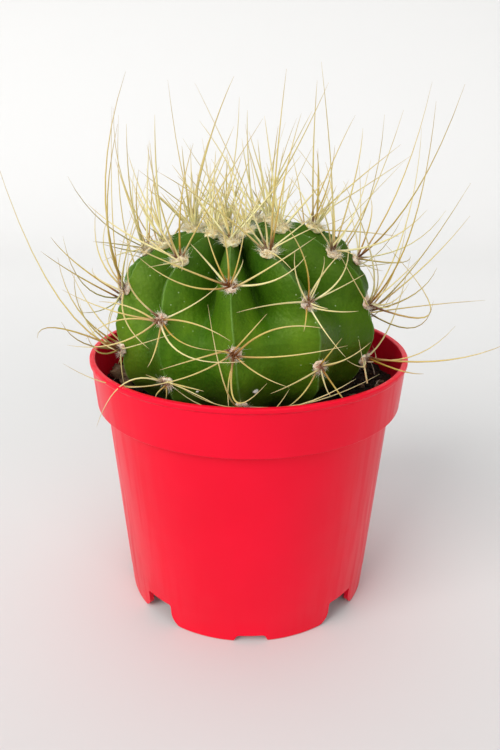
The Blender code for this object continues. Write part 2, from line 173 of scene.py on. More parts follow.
# Pot: one thin shot of glossy red polypropylene, with a rolled bead on its rim, a wider collar that stacks on
# the next pot, a raised floor with drain holes, and a foot ring cut into feet so that water runs out.
pot_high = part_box("pot")[1]
POT_HEIGHT = pot_high.z
RIM_RADIUS = pot_high.x
BEAD_HEIGHT = 0.0011
BEAD_PROUD = 0.0005
COLLAR_TOP_RADIUS = 0.0419
COLLAR_FOOT_RADIUS = 0.0411
COLLAR_FOOT_Z = 0.0566
CONE_TOP_RADIUS = 0.0387
CONE_FOOT_RADIUS = 0.0343
WALL = 0.0009
EDGE_ROUND = 0.0005
FOOT_RING_WIDTH = 0.0011
FLOOR_Z = 0.0076
FLOOR_THICKNESS = 0.0010
MOULD_LINE_Z = 0.0069
MOULD_STEP = 0.00008
POT_STEPS = 192
NOTCH_COUNT = 4
NOTCH_TURN = 1.7
LOW_NOTCH_HALF_WIDTH = 0.0046
LOW_NOTCH_HEIGHT = 0.0020
TALL_NOTCH_HALF_WIDTH = 0.0045
TALL_NOTCH_HEIGHT = 0.0066
TALL_NOTCH_SPLAY = 0.0040
DRAIN_RADIUS = 0.0033
DRAIN_CIRCLE = 0.0185
NOTCH_ROUND = 0.0007
SHARP_EDGE = 35


def cone_radius(z):
    """The outside radius of the pot's wall below its collar."""
    return CONE_FOOT_RADIUS + (CONE_TOP_RADIUS - CONE_FOOT_RADIUS) * z / COLLAR_FOOT_Z


def rounded(corner, before, after, radius, count=4):
    """Points that round a corner of an outline between its neighbours."""
    corner, before, after = Vector(corner), Vector(before), Vector(after)
    start = corner + (before - corner).normalized() * radius
    end = corner + (after - corner).normalized() * radius
    shares = [step / count for step in range(count + 1)]
    return [tuple((1 - s) ** 2 * start + 2 * s * (1 - s) * corner + s**2 * end) for s in shares]


def rounded_outline(points):
    """An open outline of (across, up, rounding) points with its inner corners rounded."""
    outline = [points[0][:2]]
    for before, here, after in zip(points, points[1:], points[2:]):
        if here[2]:
            outline += rounded(here[:2], before[:2], after[:2], here[2])
        else:
            outline.append(here[:2])
    return outline + [points[-1][:2]]


def spun(outline, steps):
    """A closed solid of revolution from an outline that starts and ends on the axis."""
    bm = bmesh.new()
    verts = [bm.verts.new((r, 0, z)) for r, z in outline]
    edges = [bm.edges.new(pair) for pair in zip(verts, verts[1:])]
    turn = {"axis": (0, 0, 1), "cent": (0, 0, 0), "angle": 2 * math.pi}
    bmesh.ops.spin(bm, geom=verts + edges, steps=steps, use_merge=True, **turn)
    bmesh.ops.remove_doubles(bm, verts=bm.verts, dist=0.000002)
    bmesh.ops.recalc_face_normals(bm, faces=bm.faces)
    return bm


def placed(name, bm, *finishes, sharp=SHARP_EDGE):
    """A finished piece from a bmesh, smooth but for its sharp edges."""
    mesh = bpy.data.meshes.new(name)
    bm.to_mesh(mesh)
    bm.free()
    mesh.shade_smooth()
    mesh.set_sharp_from_angle(angle=math.radians(sharp))
    for finish in finishes:
        mesh.materials.append(finish)
    obj = bpy.data.objects.new(name, mesh)
    scene.collection.objects.link(obj)
    return obj


def applied(obj):
    """Turns an object's modifiers into its mesh."""
    graph = bpy.context.evaluated_depsgraph_get()
    mesh = bpy.data.meshes.new_from_object(obj.evaluated_get(graph))
    obj.modifiers.clear()
    obj.data = mesh


floor_top = FLOOR_Z + FLOOR_THICKNESS
shelf_z = COLLAR_FOOT_Z + WALL
bead_z = POT_HEIGHT - BEAD_HEIGHT
rim_inside = COLLAR_TOP_RADIUS - WALL
foot_inside = CONE_FOOT_RADIUS - EDGE_ROUND - FOOT_RING_WIDTH
# Up the inside from the middle of the floor, over the rim, down the outside and back under the floor.
pot_outline = rounded_outline([
    (0, floor_top, 0),
    (cone_radius(floor_top) - WALL, floor_top, 0.0008),
    (cone_radius(shelf_z) - WALL, shelf_z, 0.0004),
    (COLLAR_FOOT_RADIUS - WALL, shelf_z + EDGE_ROUND, 0.0006),
    (rim_inside, POT_HEIGHT, 0.0004),
    (RIM_RADIUS, POT_HEIGHT, 0.0004),
    (RIM_RADIUS, bead_z, 0.0003),
    (RIM_RADIUS - BEAD_PROUD, bead_z - 0.0004, 0.0003),
    (COLLAR_FOOT_RADIUS, COLLAR_FOOT_Z, 0.0004),
    (CONE_TOP_RADIUS, COLLAR_FOOT_Z, 0.0004),
    (cone_radius(MOULD_LINE_Z) + MOULD_STEP, MOULD_LINE_Z + 0.0002, 0),
    (cone_radius(MOULD_LINE_Z), MOULD_LINE_Z, 0),
    (CONE_FOOT_RADIUS, 0, 0.0006),
    (foot_inside, 0, 0.0002),
    (cone_radius(FLOOR_Z) - FOOT_RING_WIDTH, FLOOR_Z, 0.0004),
    (0, FLOOR_Z, 0),
])
pot = placed("nursery_pot", spun(pot_outline, POT_STEPS))


def notch_cutter(half, turn):
    """A plate of a notch's outline, set across the foot's wall at a turn from the front."""
    depth = 6 * FOOT_RING_WIDTH
    bm = bmesh.new()
    outline = [(-x, z) for x, z in reversed(half)] + half
    face = bm.faces.new([bm.verts.new((x, -CONE_FOOT_RADIUS - depth / 2, z)) for x, z in outline])
    grown = bmesh.ops.extrude_face_region(bm, geom=[face])["geom"]
    moved = [v for v in grown if isinstance(v, bmesh.types.BMVert)]
    bmesh.ops.translate(bm, verts=moved, vec=(0, depth, 0))
    bmesh.ops.rotate(bm, verts=bm.verts, matrix=Matrix.Rotation(math.radians(turn), 3, "Z"))
    bmesh.ops.recalc_face_normals(bm, faces=bm.faces)
    return placed("cut_notch", bm)


def drain_cutter(x, y):
    """A round plug through the floor."""
    bm = bmesh.new()
    at = Matrix.Translation((x, y, FLOOR_Z + FLOOR_THICKNESS / 2))
    size = {"radius1": DRAIN_RADIUS, "radius2": DRAIN_RADIUS, "depth": 4 * FLOOR_THICKNESS}
    bmesh.ops.create_cone(bm, cap_ends=True, segments=32, matrix=at, **size)
    return placed("cut_drain", bm)


low_half = rounded_outline([
    (0, LOW_NOTCH_HEIGHT, 0),
    (LOW_NOTCH_HALF_WIDTH - LOW_NOTCH_HEIGHT / 2, LOW_NOTCH_HEIGHT, NOTCH_ROUND),
    (LOW_NOTCH_HALF_WIDTH, 0, 0),
    (LOW_NOTCH_HALF_WIDTH + LOW_NOTCH_HEIGHT / 2, -LOW_NOTCH_HEIGHT, 0),
])[1:]
tall_half = rounded_outline([
    (0, TALL_NOTCH_HEIGHT, 0),
    (TALL_NOTCH_HALF_WIDTH, TALL_NOTCH_HEIGHT, NOTCH_ROUND),
    (TALL_NOTCH_HALF_WIDTH, TALL_NOTCH_SPLAY, 0),
])[1:-1]
for turn in range(0, 100, 10):
    across = TALL_NOTCH_HALF_WIDTH + TALL_NOTCH_SPLAY * (1 - math.cos(math.radians(turn)))
    tall_half.append((across, TALL_NOTCH_SPLAY * (1 - math.sin(math.radians(turn)))))
tall_half.append((tall_half[-1][0], -LOW_NOTCH_HEIGHT))

cutters = bpy.data.collections.new("pot_cutters")
made = []
for number in range(NOTCH_COUNT):
    turn = NOTCH_TURN + 360 / NOTCH_COUNT * number
    made.append(notch_cutter(low_half, turn))
    made.append(notch_cutter(tall_half, turn + 180 / NOTCH_COUNT))
    around = math.radians(turn)
    made.append(drain_cutter(DRAIN_CIRCLE * math.sin(around), -DRAIN_CIRCLE * math.cos(around)))
made.append(drain_cutter(0, 0))
for cutter in made:
    cutters.objects.link(cutter)
cut = pot.modifiers.new("Notches and drains", "BOOLEAN")
cut.operand_type = "COLLECTION"
cut.collection = cutters
applied(pot)
for cutter in made:
    bpy.data.objects.remove(cutter)
bpy.data.collections.remove(cutters)
pot.data.set_sharp_from_angle(angle=math.radians(SHARP_EDGE))


def new_finish(name):
    """A new material, its node tree, its shader and the coordinates that its patterns read."""
    finish = bpy.data.materials.new(name)
    finish.use_nodes = True
    tree = finish.node_tree
    where = tree.nodes.new("ShaderNodeTexCoord").outputs["Object"]
    return finish, tree, tree.nodes["Principled BSDF"], where


def textured(tree, kind, coordinates, stretch=(1, 1, 1), **inputs):
    """A Noise or Voronoi texture, read in the given coordinates through a Mapping node."""
    mapping = tree.nodes.new("ShaderNodeMapping")
    set_inputs(mapping, Scale=stretch)
    tree.links.new(coordinates, mapping.inputs["Vector"])
    texture = tree.nodes.new("ShaderNodeTex" + kind)
    tree.links.new(mapping.outputs["Vector"], texture.inputs["Vector"])
    set_inputs(texture, **inputs)
    return texture


def ramped(tree, source, *stops):
    """A colour ramp on a value: each stop is a place and a grey or a colour."""
    ramp = tree.nodes.new("ShaderNodeValToRGB")
    tree.links.new(source, ramp.inputs["Fac"])
    elements = ramp.color_ramp.elements
    while len(elements) < len(stops):
        elements.new(0.5)
    for element, (place, colour) in zip(elements, stops):
        element.position = place
        element.color = (colour,) * 3 + (1,) if isinstance(colour, (int, float)) else (*colour, 1)
    return ramp.outputs["Color"]


def mixed(tree, share, low, high, how="MIX"):
    """A colour mix whose share and two colours are values or other nodes' outputs."""
    mix = tree.nodes.new("ShaderNodeMix")
    mix.data_type = "RGBA"
    mix.blend_type = how
    for socket, value in ((mix.inputs[0], share), (mix.inputs[6], low), (mix.inputs[7], high)):
        if isinstance(value, bpy.types.NodeSocket):
            tree.links.new(value, socket)
        else:
            socket.default_value = (*value, 1) if isinstance(value, tuple) else value
    return mix.outputs[2]


def bumped(tree, shader, *layers):
    """Stacked bump layers of (height, distance in metres), joined to the shader's normal."""
    last = None
    for height, distance in layers:
        bump = tree.nodes.new("ShaderNodeBump")
        set_inputs(bump, Distance=distance)
        tree.links.new(height, bump.inputs["Height"])
        if last:
            tree.links.new(last, bump.inputs["Normal"])
        last = bump.outputs["Normal"]
    tree.links.new(last, shader.inputs["Normal"])


red_plastic, tree, shader, where = new_finish("red polypropylene")
clouds = textured(tree, "Noise", where, Scale=28, Detail=3, Roughness=0.5)
streaks = textured(tree, "Noise", where, (1, 1, 0.06), Scale=420, Detail=2)
specks = textured(tree, "Voronoi", where, Scale=190, Randomness=1)
tone = ramped(tree, clouds.outputs["Fac"], (0.3, (0.78, 0.002, 0.022)), (0.7, (0.86, 0.003, 0.028)))
dust = ramped(tree, specks.outputs["Distance"], (0.03, 1.0), (0.055, 0.0))
rare = ramped(tree, specks.outputs["Color"], (0.90, 0.0), (0.94, 1.0))
speck_share = mixed(tree, 1.0, dust, rare, "MULTIPLY")
tree.links.new(mixed(tree, speck_share, tone, (0.80, 0.30, 0.28)), shader.inputs["Base Color"])
scuffs = ramped(tree, streaks.outputs["Fac"], (0.45, 0.30), (0.62, 0.42))
tree.links.new(scuffs, shader.inputs["Roughness"])
set_inputs(shader, Specular_IOR_Level=0.14, Subsurface_Weight=0.12, Subsurface_Radius=(0.004, 0.0006, 0.0006))
bumped(tree, shader, (clouds.outputs["Fac"], 0.0006), (streaks.outputs["Fac"], 0.00002))
pot.data.materials.clear()
pot.data.materials.append(red_plastic)
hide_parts("pot")
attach(pot, "root")

# Body: one swollen stem of green flesh under a waxy skin, folded into eleven ribs that meet in a sunken
# crown. It leans a little to one side and sits in the peat up to its lowest areoles.
SOIL_TOP = 0.0600
BODY_CENTRE = np.array((-0.0010, 0.0, 0.0759))
BODY_LEAN = math.radians(5.5)
BODY_RADIUS = 0.0338
CROWN_RISE = 0.0274
BODY_DROP = 0.0240
SHOULDER = 2.45
CROWN_SINK = 0.0035
CROWN_SINK_RADIUS = 0.0085
GROOVE_DEPTH = 0.40
GROOVE_ROUND = 0.75
GROOVE_ENDS = 58
FURROW_DEPTH = 0.10
FURROW_ROUND = -0.80
FURROW_STARTS = 84
COLUMNS_PER_RIB = 24
BODY_ROWS = 150
# Each rib: its crest's azimuth low down, its turn near the crown, and its first grown areole's angle from the
# crown.
RIBS = (
    (-98.5, 0, 48),
    (-66, -6, 38),
    (-34, 0, 46),
    (-3, 0, 33),
    (30.5, -14, 44),
    (67, -12, 53),
    (99.5, -6, 40),
    (132, 0, 50),
    (164, 0, 36),
    (196.5, 0, 45),
    (229, 0, 34),
)
RIB_TURN_STARTS = 75
RIB_TURN_ENDS = 35
AREOLE_STEP = 25.5
YOUNGEST_AREOLE = 17
LOWEST_AREOLE = 112
GROWN_AREOLE = 60
NEWEST_AREOLE = 15
UP = np.array((0.0, 0.0, 1.0))
LEANING = np.array(Matrix.Rotation(-BODY_LEAN, 3, "Y"))


def crest_distance(angle):
    """How far a rib's crest lies from the body's centre, at an angle from its crown."""
    sine, cosine = np.sin(angle), np.cos(angle)
    rise = np.where(cosine > 0, CROWN_RISE, BODY_DROP)
    power = np.where(cosine > 0, SHOULDER, 2.0)
    plain = (np.abs(sine / BODY_RADIUS) ** power + np.abs(cosine / rise) ** power) ** (-1 / power)
    sink = CROWN_SINK * np.exp(-((plain * sine / CROWN_SINK_RADIUS) ** 2))
    return plain - sink * (cosine > 0)


def crest_azimuths(angle):
    """Where every rib's crest runs, in radians, at an angle from the crown."""
    span = RIB_TURN_STARTS - RIB_TURN_ENDS
    share = np.clip((RIB_TURN_STARTS - np.degrees(angle)) / span, 0, 1)
    return np.radians([azimuth + turn * share for azimuth, turn, first in RIBS])


def crests_round(angle):
    """The crests' azimuths with the last and the first repeated, so that they span the whole turn."""
    crests = crest_azimuths(angle)
    return np.concatenate((crests[-1:] - 2 * math.pi, crests, crests[:1] + 2 * math.pi))


def groove_share(angle, azimuth):
    """0 on a crest and 1 in the middle of the groove between two ribs."""
    crests = crests_round(angle)
    around = np.mod(azimuth - crests[0], 2 * math.pi) + crests[0]
    ribs = sum(np.clip((around - low) / (high - low), 0, 1) for low, high in zip(crests, crests[1:]))
    return np.abs(ribs - np.round(ribs)) * 2


def surface_distance(angle, azimuth):
    """The skin's distance: sharp deep grooves near the crown that open into wide shallow furrows below."""
    share = groove_share(angle, azimuth)
    low = np.clip((np.degrees(angle) - GROOVE_ENDS) / (FURROW_STARTS - GROOVE_ENDS), 0, 1)
    low = low**2 * (3 - 2 * low)
    depth = GROOVE_DEPTH + (FURROW_DEPTH - GROOVE_DEPTH) * low
    rounding = GROOVE_ROUND + (FURROW_ROUND - GROOVE_ROUND) * low
    shape = (1 - rounding) * share + rounding * share**2
    return crest_distance(angle) * (1 - depth * np.sin(angle) ** 0.5 * shape)


def body_point(angle, azimuth, distance):
    """The place at a distance from the body's centre, in the leaning body's own directions."""
    ahead = np.array((math.sin(azimuth), -math.cos(azimuth), 0))
    return BODY_CENTRE + LEANING @ (distance * (math.sin(angle) * ahead + math.cos(angle) * UP))


def body_clearance(points):
    """How far each point lies outside the body, along the line to its centre."""
    local = (points - BODY_CENTRE) @ LEANING
    distance = np.linalg.norm(local, axis=-1)
    angle = np.arccos(np.clip(local[:, 2] / distance, -1, 1))
    return distance - surface_distance(angle, np.arctan2(local[:, 0], -local[:, 1]))


CREST_GATHER = 1.6
CREST_LINE_HEIGHT = 0.00022
CREST_LINE_WIDTH = 0.028
CREST_SWELL = 0.0012
FLANK_RELIEF = 0.00026
FLANK_LUMPS = 190
FLANK_GRAIN = 520
CREST_GRAIN = 900

bm = bmesh.new()
columns = COLUMNS_PER_RIB * len(RIBS)
bmesh.ops.create_uvsphere(bm, u_segments=columns, v_segments=BODY_ROWS, radius=1)
crest_layer = bm.verts.layers.float.new("crest")
height_layer = bm.verts.layers.float.new("height")
for vert in bm.verts:
    angle = math.acos(max(-1, min(1, vert.co.z)))
    crests = crests_round(angle)
    ribs = math.atan2(-vert.co.x, vert.co.y) % (2 * math.pi) / (2 * math.pi) * len(RIBS)
    rib = round(ribs)
    share = abs(2 * (ribs - rib)) ** CREST_GATHER
    azimuth = float(np.interp(rib + math.copysign(share / 2, ribs - rib), range(len(crests)), crests))
    distance = float(surface_distance(angle, azimuth))
    first = (RIBS[-1:] + RIBS + RIBS[:1])[rib][2]
    swell = math.sin(math.pi * (math.degrees(angle) - first) / AREOLE_STEP) ** 2
    line = math.exp(-((share / CREST_LINE_WIDTH) ** 2))
    spot = Vector(body_point(angle, azimuth, distance))
    rough = noise.noise(spot * FLANK_LUMPS) + 0.5 * noise.noise(spot * FLANK_GRAIN)
    broken = 0.5 + 1.6 * noise.noise(spot * CREST_GRAIN)
    distance += CREST_SWELL * swell * (1 - share) * math.sin(angle) ** 2
    distance += CREST_LINE_HEIGHT * line * broken * min(1, angle)
    distance += FLANK_RELIEF * rough * (1 - 0.6 * share)
    vert.co = Vector(body_point(angle, azimuth, distance))
    vert[crest_layer] = share
    vert[height_layer] = (vert.co.z - SOIL_TOP) / (2 * BODY_RADIUS)
bmesh.ops.recalc_face_normals(bm, faces=bm.faces)
body = placed("cactus_stem", bm, sharp=180)


def attribute(tree, name):
    """A value that the mesh carries at each of its points."""
    reader = tree.nodes.new("ShaderNodeAttribute")
    reader.attribute_name = name
    return reader.outputs["Fac"]


# Its colour goes on in coats: mottled flesh, olive patches, painted shade in the grooves, brown at the foot,
# darker near the crown, painted shade on the side away from the window, then the worn crest lines and the
# pale specks.
green_skin, tree, shader, where = new_finish("waxy green skin")
mottle = textured(tree, "Noise", where, (1, 1, 0.45), Scale=150, Detail=5, Roughness=0.65)
patches = textured(tree, "Noise", where, Scale=42, Detail=2)
grain = textured(tree, "Noise", where, Scale=1500, Detail=3, Roughness=0.7)
pores = textured(tree, "Voronoi", where, Scale=1000, Randomness=1)
flecks = textured(tree, "Voronoi", where, Scale=620, Randomness=1)
flesh = ramped(
    tree, mottle.outputs["Fac"], (0.28, (0.026, 0.090, 0.003)), (0.50, (0.052, 0.145, 0.004)),
    (0.74, (0.125, 0.255, 0.010))
)
olive = ramped(tree, patches.outputs["Fac"], (0.42, 0.0), (0.70, 0.55))
flesh = mixed(tree, olive, flesh, (0.120, 0.200, 0.008))
# Painted shade: the grooves are coloured darker towards their middle, where less light reaches into them.
groove_shade = ramped(tree, attribute(tree, "crest"), (0.50, 0.0), (1.0, 0.55))
flesh = mixed(tree, groove_shade, flesh, (0.022, 0.090, 0.003))
low_skin = ramped(tree, attribute(tree, "height"), (0.04, 0.75), (0.22, 0.0))
flesh = mixed(tree, low_skin, flesh, (0.050, 0.075, 0.010))
upper = ramped(tree, attribute(tree, "height"), (0.36, 0.0), (0.56, 0.55))
flesh = mixed(tree, upper, flesh, (0.034, 0.090, 0.008))
# Painted shade: the skin on the +X side, turned from the window light, is coloured darker.
sides = tree.nodes.new("ShaderNodeSeparateXYZ")
tree.links.new(where, sides.inputs["Vector"])
painted_shade_side = tree.nodes.new("ShaderNodeMapRange")
set_inputs(painted_shade_side, From_Min=0.002, From_Max=0.028, To_Max=0.75)
tree.links.new(sides.outputs["X"], painted_shade_side.inputs["Value"])
flesh = mixed(tree, painted_shade_side.outputs["Result"], flesh, (0.036, 0.085, 0.002))
ridge = ramped(tree, attribute(tree, "crest"), (0.010, 0.42), (0.034, 0.0))
worn = ramped(tree, mottle.outputs["Fac"], (0.36, 0.10), (0.56, 1.0))
ridge = mixed(tree, 1.0, ridge, worn, "MULTIPLY")
flesh = mixed(tree, ridge, flesh, (0.20, 0.35, 0.10))
dot = ramped(tree, flecks.outputs["Distance"], (0.06, 0.80), (0.12, 0.0))
few = ramped(tree, flecks.outputs["Color"], (0.68, 0.0), (0.74, 1.0))
dot = mixed(tree, 1.0, dot, few, "MULTIPLY")
flesh = mixed(tree, dot, flesh, (0.42, 0.52, 0.30))
tree.links.new(flesh, shader.inputs["Base Color"])
shine = ramped(tree, grain.outputs["Fac"], (0.35, 0.34), (0.70, 0.50))
tree.links.new(shine, shader.inputs["Roughness"])
set_inputs(
    shader, Specular_IOR_Level=0.26, Specular_Tint=(0.8, 1.0, 0.35, 1), Subsurface_Weight=0.10,
    Subsurface_Radius=(0.0012, 0.0024, 0.0004)
)
bumped(
    tree, shader, (mottle.outputs["Fac"], 0.00025), (pores.outputs["Distance"], 0.0001),
    (grain.outputs["Fac"], 0.00008)
)
body.data.materials.append(green_skin)
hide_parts("cactus_body")
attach(body, "root")

# Peat: the dark loose peat that the plant grows in. It fills the pot to about a centimetre below the rim, has
# settled unevenly with watering, and closes round the stem's foot.
PEAT_RELIEF = 0.0011
PEAT_LUMPS = ((1.0, 170), (0.6, 420), (0.4, 1100))
PEAT_STEPS = 260
PEAT_RINGS = 48
PEAT_MIDDLE = 0.022
HOLLOW_SHARE = 0.985
GAP = 0.0003

soil_wall = WALL + GAP
soil_floor = FLOOR_Z + FLOOR_THICKNESS + GAP
soil_shelf = COLLAR_FOOT_Z + WALL + EDGE_ROUND + GAP
soil_edge = COLLAR_FOOT_RADIUS - soil_wall
outline = [(0, SOIL_TOP)]
top_width = soil_edge - PEAT_MIDDLE
outline += [(PEAT_MIDDLE + top_width * ring / PEAT_RINGS, SOIL_TOP) for ring in range(PEAT_RINGS + 1)]
outline += [
    (soil_edge, soil_shelf),
    (cone_radius(soil_shelf) - soil_wall, soil_shelf - EDGE_ROUND),
    (cone_radius(soil_floor) - soil_wall, soil_floor),
    (0, soil_floor),
]
bm = spun(outline, PEAT_STEPS)


def peat_height(x, y):
    """How high the peat's top lies at a place: settled hollows, lumps and grains."""
    spot = Vector((x, y, 0))
    return SOIL_TOP + PEAT_RELIEF * sum(height * noise.noise(spot * scale) for height, scale in PEAT_LUMPS)


for vert in bm.verts:
    if vert.co.z > SOIL_TOP - GAP:
        vert.co.z = peat_height(vert.co.x, vert.co.y)
peat = placed("peat", bm, sharp=60)
bm = bmesh.new()
bmesh.ops.create_uvsphere(bm, u_segments=64, v_segments=40, radius=1)
for vert in bm.verts:
    angle = math.acos(max(-1, min(1, vert.co.z)))
    azimuth = math.atan2(vert.co.x, -vert.co.y)
    vert.co = Vector(body_point(angle, azimuth, float(crest_distance(angle)) * HOLLOW_SHARE))
hollow = placed("cut_hollow", bm)
cut = peat.modifiers.new("Hollow", "BOOLEAN")
cut.object = hollow
applied(peat)
bpy.data.objects.remove(hollow)

dark_peat, tree, shader, where = new_finish("dark peat")
clods = textured(tree, "Noise", where, Scale=260, Detail=6, Roughness=0.7)
fibres = textured(tree, "Noise", where, (1, 0.16, 1), Scale=900, Detail=3)
brown = ramped(
    tree, clods.outputs["Fac"], (0.35, (0.006, 0.004, 0.003)), (0.55, (0.022, 0.012, 0.007)),
    (0.75, (0.060, 0.034, 0.018))
)
straw = ramped(tree, fibres.outputs["Fac"], (0.66, 0.0), (0.72, 0.7))
tree.links.new(mixed(tree, straw, brown, (0.14, 0.085, 0.045)), shader.inputs["Base Color"])
set_inputs(shader, Roughness=0.95, Specular_IOR_Level=0.2)
bumped(tree, shader, (clods.outputs["Fac"], 0.0012), (fibres.outputs["Fac"], 0.0004))
peat.data.materials.clear()
peat.data.materials.append(dark_peat)
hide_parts("soil")
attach(peat, "root")

# Crumbs: small clods of peat and flakes of composted bark, both from the potting mix. They lie loose on the
# peat, half sunk in it, and a few larger chips of bark lie by the wall.
CRUMB_SEED = 21
STEM_CLEARANCE = 0.0012
PEAT_CRUMBS = 420
CRUMB_RING = (0.026, 0.0392)
CRUMB_SIZE = (0.0004, 0.0012)
BARK_FLAKES = 46
FLAKE_RING = (0.028, 0.0385)
FLAKE_SIZE = (0.0006, 0.0016)
FLAKE_LIFT = 0.5
CHIP_LIFT = 0.7
# Each chip's place, as x and y, and its size.
BARK_CHIPS = (
    (-0.0350, 0.0010, 0.0034),
    (-0.0330, -0.0045, 0.0022),
    (-0.0372, 0.0060, 0.0020),
    (0.0345, -0.0070, 0.0013),
    (0.0362, -0.0010, 0.0015),
    (0.0300, -0.0215, 0.0012),
)
draw = np.random.default_rng(CRUMB_SEED)


def open_peat(low, high):
    """A random place on the peat between the stem and the wall, as x, y."""
    while True:
        around = draw.uniform(0, 2 * math.pi)
        reach = math.sqrt(draw.uniform(low**2, high**2))
        x, y = reach * math.sin(around), -reach * math.cos(around)
        if body_clearance(np.array([(x, y, SOIL_TOP)]))[0] > STEM_CLEARANCE:
            return x, y


def add_lump(bm, x, y, size, flatness, subdivisions, lift=0.25):
    """An angular lump, half sunk in the peat."""
    at = len(bm.verts)
    bmesh.ops.create_icosphere(bm, subdivisions=subdivisions, radius=1)
    bm.verts.ensure_lookup_table()
    fresh = bm.verts[at:]
    seed = Vector(draw.uniform(-50, 50, size=3))
    turn = Matrix.Rotation(draw.uniform(0, 6.3), 3, "Z") @ Matrix.Rotation(draw.normal(0, 0.4), 3, "X")
    shape = Vector(draw.uniform(0.6, 1.3, size=3) * (1, 1, flatness))
    for vert in fresh:
        swell = 1 + 0.45 * noise.noise(vert.co * 1.3 + seed)
        vert.co = size * (turn @ (vert.co * swell * shape))
    rise = peat_height(x, y) + lift * size * flatness
    bmesh.ops.translate(bm, verts=fresh, vec=(x, y, rise))


bm = bmesh.new()
for number in range(PEAT_CRUMBS):
    x, y = open_peat(*CRUMB_RING)
    add_lump(bm, x, y, draw.uniform(*CRUMB_SIZE), draw.uniform(0.6, 1.0), 1)
crumbs = placed("peat_crumbs", bm, dark_peat, sharp=50)
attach(crumbs, "root")

bark, tree, shader, where = new_finish("composted bark")
layers = textured(tree, "Noise", where, (1, 1, 3), Scale=420, Detail=4, Roughness=0.65)
tan = ramped(
    tree, layers.outputs["Fac"], (0.30, (0.055, 0.030, 0.013)), (0.52, (0.17, 0.105, 0.055)),
    (0.72, (0.36, 0.25, 0.15))
)
tree.links.new(tan, shader.inputs["Base Color"])
set_inputs(shader, Roughness=0.85)
bumped(tree, shader, (layers.outputs["Fac"], 0.0006))
bm = bmesh.new()
for number in range(BARK_FLAKES):
    x, y = open_peat(*FLAKE_RING)
    add_lump(bm, x, y, draw.uniform(*FLAKE_SIZE), draw.uniform(0.25, 0.6), 2, FLAKE_LIFT)
for x, y, size in BARK_CHIPS:
    add_lump(bm, x, y, size, 0.5, 3, CHIP_LIFT)
flakes = placed("bark_flakes", bm, bark, sharp=40)
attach(flakes, "root")

# Areoles: along every crest, each a cushion of short wool with its spines in it. The spines are dry, smooth
# and woody: brown where they leave the wool, golden along their length and pale at the tip. Each spine of a
# grown areole has its turn from uphill and its lean in degrees, its length and its lift.
GROWN_SPINES = (
    (-12, 24, 0.041, 0.16),
    (76, 62, 0.031, 0.30),
    (-72, 60, 0.033, 0.34),
    (28, 38, 0.037, 0.26),
    (-104, 66, 0.027, 0.30),
    (108, 68, 0.025, 0.26),
    (-44, 48, 0.035, 0.32),
    (158, 62, 0.014, 0.16),
)
YOUNG_LEAN = 0.42
YOUNG_LENGTH = 0.40
LEAST_LEAN = 6
SHORTEST_SPINE = 0.007
LONGEST_SPINE = 0.050
SHORT_SPINE = 0.030
CLOCK_SPREAD = 13
LEAN_SPREAD = 8
LENGTH_SPREAD = 0.28
LIFT_SPREAD = 0.16
BEND_SPREAD = 0.14
CURL = 0.34
SPREAD_PER_TRY = 0.8
SHRINK_PER_TRY = 0.015
SEED = 295
TRIES = 40
REACH = np.array((0.0655, 0.0600, 0.1385))
SPINE_RADIUS = 0.00028
SPINE_CLEARANCE = 0.0002
BODY_CLEARANCE = 0.0006
RIM_CLEARANCE = 0.0008
SOIL_CLEARANCE = 0.0020
BELOW_RIM = 0.004
ROOT_HEIGHT = 0.0008
PAD_CLEARANCE = 0.0024
NEAR_ROOT = 0.003
CREST_NUDGE = 0.02
MERGE = 0.00001


def areoles():
    """Every areole: its name, its place, its outward, uphill and sideways directions, and its age, 0 to 1."""
    found = []
    for number, (azimuth, turn, first) in enumerate(RIBS):
        rows = np.arange(first - AREOLE_STEP, LOWEST_AREOLE, AREOLE_STEP)
        for row, degrees in enumerate(rows[rows >= YOUNGEST_AREOLE], start=1):
            angle = math.radians(degrees)
            around = crest_azimuths(angle)[number]
            place = body_point(angle, around, crest_distance(angle))
            beside = (angle - CREST_NUDGE, angle + CREST_NUDGE)
            above, below = (body_point(a, around, crest_distance(a)) for a in beside)
            uphill = (above - below) / np.linalg.norm(above - below)
            sideways = LEANING @ np.array((math.cos(around), math.sin(around), 0))
            age = min(1, (degrees - NEWEST_AREOLE) / (GROWN_AREOLE - NEWEST_AREOLE))
            outward = np.cross(sideways, uphill)
            found.append((f"areole_{number + 1:02d}_{row}", place, outward, uphill, sideways, age))
    return found


def spine_points(root, start, length, bend):
    """The few points that stand for a spine when gaps are tested."""
    steps = 3 if length < SHORT_SPINE else 4
    share = np.linspace(0, 1, steps + 1)[:, None]
    return root + length * (share * start + share**2 * bend)


def least_gap(a, b, c, d):
    """The least distance between any segment a-b and any segment c-d."""
    along, across = b - a, d - c
    apart = a[:, None] - c[None]
    aa = (along**2).sum(-1)[:, None]
    cc = (across**2).sum(-1)[None]
    ac = along @ across.T
    a_apart = (along[:, None] * apart).sum(-1)
    c_apart = (across[None] * apart).sum(-1)
    s = np.clip((ac * c_apart - a_apart * cc) / np.maximum(aa * cc - ac**2, 1e-18), 0, 1)
    t = np.clip((ac * s + c_apart) / cc, 0, 1)
    s = np.clip((ac * t - a_apart) / aa, 0, 1)
    between = apart + s[..., None] * along[:, None] - t[..., None] * across[None]
    return np.linalg.norm(between, axis=-1).min(initial=1)


